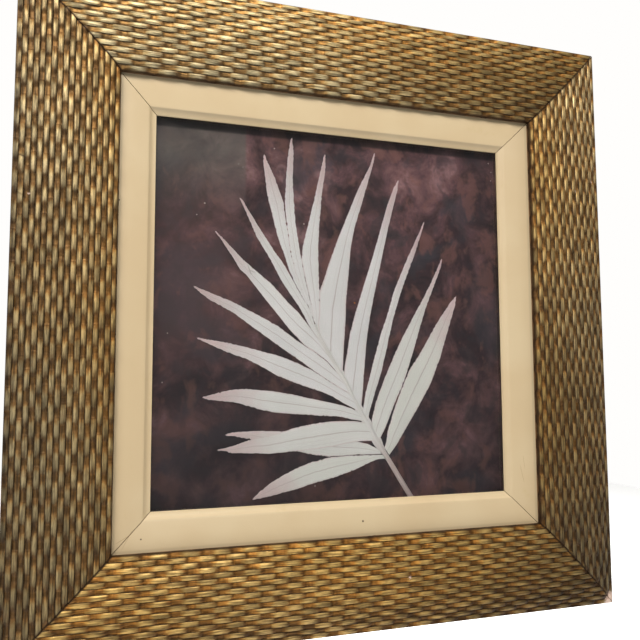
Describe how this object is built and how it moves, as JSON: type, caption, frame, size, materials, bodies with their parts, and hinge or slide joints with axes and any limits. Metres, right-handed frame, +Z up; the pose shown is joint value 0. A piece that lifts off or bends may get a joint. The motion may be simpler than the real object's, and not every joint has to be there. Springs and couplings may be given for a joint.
{
  "type": "pressed leaf frame",
  "caption": "Square picture frame with a wide woven gilt rim, a cream liner and a pressed, bleached palm leaf under glass on dark mottled paper.",
  "frame": {"origin": "the middle notch of the sawtooth hanger, where a wall nail takes it, in the plane of the rails' backs", "axes": "+Z up along the frame's height, +X to the right as the frame is looked at, -Y out of the glass towards the viewer, +Y into the wall"},
  "size_m": [0.3338, 0.0241, 0.3338],
  "materials": {
    "woven_gilt": "woven relief in composition on a wooden rail, champagne and gold finish worn to brown in the hollows",
    "cream_paint": "cream paint, satin, on a wooden liner",
    "clear_glass": "clear, polished",
    "bleached_leaf": "dry leaf tissue, bleached nearly white, matt",
    "dried_stalk": "dry stalk, pinkish grey, matt",
    "mottled_paper": "dark purple-brown mottled paper, matt",
    "backing_board": "brown board, matt",
    "blued_steel": "dull steel points",
    "brassed_steel": "brass-plated hanger plate",
    "nail_steel": "bright wire nails"
  },
  "bodies": {
    "root": {"rail_top": "woven_gilt", "rail_right": "woven_gilt", "rail_bottom": "woven_gilt", "rail_left": "woven_gilt", "liner_top": "cream_paint", "liner_right": "cream_paint", "liner_bottom": "cream_paint", "liner_left": "cream_paint", "glass": "clear_glass", "stem": "dried_stalk", "leaflet_left_1": "bleached_leaf", "leaflet_left_2": "bleached_leaf", "leaflet_left_3": "bleached_leaf", "leaflet_left_4": "bleached_leaf", "leaflet_left_5": "bleached_leaf", "leaflet_left_6": "bleached_leaf", "leaflet_left_7": "bleached_leaf", "leaflet_left_8": "bleached_leaf", "leaflet_top_1": "bleached_leaf", "leaflet_top_2": "bleached_leaf", "leaflet_top_3": "bleached_leaf", "leaflet_right_1": "bleached_leaf", "leaflet_right_2": "bleached_leaf", "leaflet_right_3": "bleached_leaf", "leaflet_right_4": "bleached_leaf", "leaflet_right_5": "bleached_leaf", "mount_paper": "mottled_paper", "backing_board": "backing_board", "point_top_1": "blued_steel", "point_top_2": "blued_steel", "point_right_1": "blued_steel", "point_right_2": "blued_steel", "point_bottom_1": "blued_steel", "point_bottom_2": "blued_steel", "point_left_1": "blued_steel", "point_left_2": "blued_steel", "hanger": "brassed_steel", "hanger_nail_1": "nail_steel", "hanger_nail_2": "nail_steel"}
  },
  "joints": []
}
